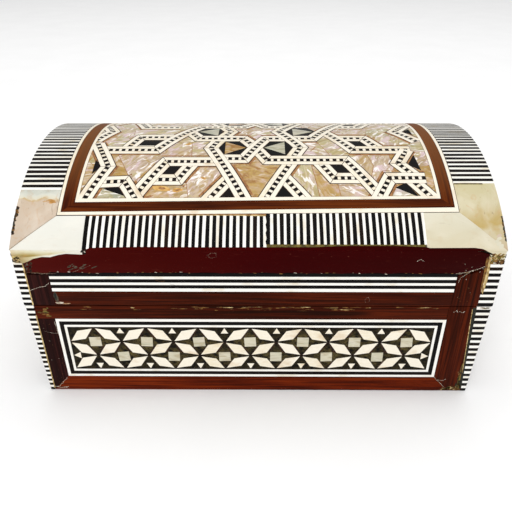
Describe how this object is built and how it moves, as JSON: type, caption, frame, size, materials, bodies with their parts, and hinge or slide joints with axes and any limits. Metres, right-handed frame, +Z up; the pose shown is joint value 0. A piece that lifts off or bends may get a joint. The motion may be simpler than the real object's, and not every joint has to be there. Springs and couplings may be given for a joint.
{
  "type": "inlaid wooden box",
  "caption": "Small rectangular wooden box with a hinged barrel lid, covered in geometric inlay of shell, bone and dark wood and lined with velvet.",
  "frame": {"origin": "middle of the underside, where the box rests", "axes": "+X along the length, -Y is the decorated front, +Z up; the lid is shut"},
  "size_m": [0.159, 0.1054, 0.082],
  "materials": {
    "mahogany": "polished reddish brown veneer",
    "dark_wood": "dark purple-brown veneer",
    "carcass_wood": "plain softwood, mostly covered",
    "red_lacquer": "glossy dark red lacquer on wood",
    "bone": "polished bone",
    "bone_and_ebony_lines": "white bone and black lines",
    "bone_and_ebony_laminate": "thin black and white laminations",
    "bone_and_ebony_mosaic": "geometric inlay of bone, ebony and pearl",
    "mother_of_pearl": "polished shell",
    "pearl_strapwork": "shell ground with bone and ebony strapwork",
    "velvet": "short dark red pile",
    "brass": "thin bent sheet, slightly dull"
  },
  "bodies": {
    "box": {"back_board": "mahogany", "body_corner_stick_back_left": "bone_and_ebony_laminate", "body_corner_stick_back_right": "bone_and_ebony_laminate", "body_corner_stick_front_left": "bone_and_ebony_laminate", "body_corner_stick_front_right": "bone_and_ebony_laminate", "body_velvet_lining": "velvet", "bottom_board": "carcass_wood", "front_board": "carcass_wood", "front_bottom_rail": "mahogany", "front_inlay_border": "bone_and_ebony_lines", "front_left_post": "dark_wood", "front_mosaic": "bone_and_ebony_mosaic", "front_right_post": "mahogany", "front_top_rail": "mahogany", "hinge_leaf_body_left": "brass", "hinge_leaf_body_right": "brass", "hinge_pin_left": "brass", "hinge_pin_right": "brass", "left_end_board": "carcass_wood", "left_end_mosaic": "bone_and_ebony_mosaic", "left_end_veneer": "mahogany", "right_end_board": "carcass_wood", "right_end_mosaic": "bone_and_ebony_mosaic", "right_end_veneer": "mahogany"},
    "lid": {"end_stripes_left": "bone_and_ebony_laminate", "end_stripes_right": "bone_and_ebony_laminate", "hinge_leaf_lid_left": "brass", "hinge_leaf_lid_right": "brass", "lid_back_board": "mahogany", "lid_corner_stick_back_left": "bone_and_ebony_laminate", "lid_corner_stick_back_right": "bone_and_ebony_laminate", "lid_corner_stick_front_left": "bone_and_ebony_laminate", "lid_corner_stick_front_right": "bone_and_ebony_laminate", "lid_front_board": "carcass_wood", "lid_front_rail": "mahogany", "lid_left_end_board": "carcass_wood", "lid_left_end_veneer": "mahogany", "lid_left_post": "dark_wood", "lid_line_inlay": "bone_and_ebony_lines", "lid_red_band": "red_lacquer", "lid_right_end_board": "carcass_wood", "lid_right_end_veneer": "mahogany", "lid_right_post": "mahogany", "lid_top_board": "carcass_wood", "lid_velvet_lining": "velvet", "pearl_end_block_back_left": "mother_of_pearl", "pearl_end_block_back_right": "mother_of_pearl", "pearl_end_block_front_left": "mother_of_pearl", "pearl_end_block_front_right": "mother_of_pearl", "pearl_face_block_back_left": "mother_of_pearl", "pearl_face_block_back_right": "mother_of_pearl", "pearl_face_block_front_left": "mother_of_pearl", "pearl_face_block_front_right": "mother_of_pearl", "shoulder_stripes_back": "bone_and_ebony_laminate", "shoulder_stripes_front_left": "bone_and_ebony_laminate", "shoulder_stripes_front_right": "bone_and_ebony_laminate", "top_inner_bone_line": "bone", "top_mahogany_frame": "mahogany", "top_mosaic": "pearl_strapwork", "top_outer_bone_line": "bone"}
  },
  "joints": [
    {"name": "lid_hinge", "type": "hinge", "parent": "box", "child": "lid", "pos_m": [0, 0.05067, 0.0388], "axis": [-1, 0, 0], "range_deg": [0, 100]}
  ]
}
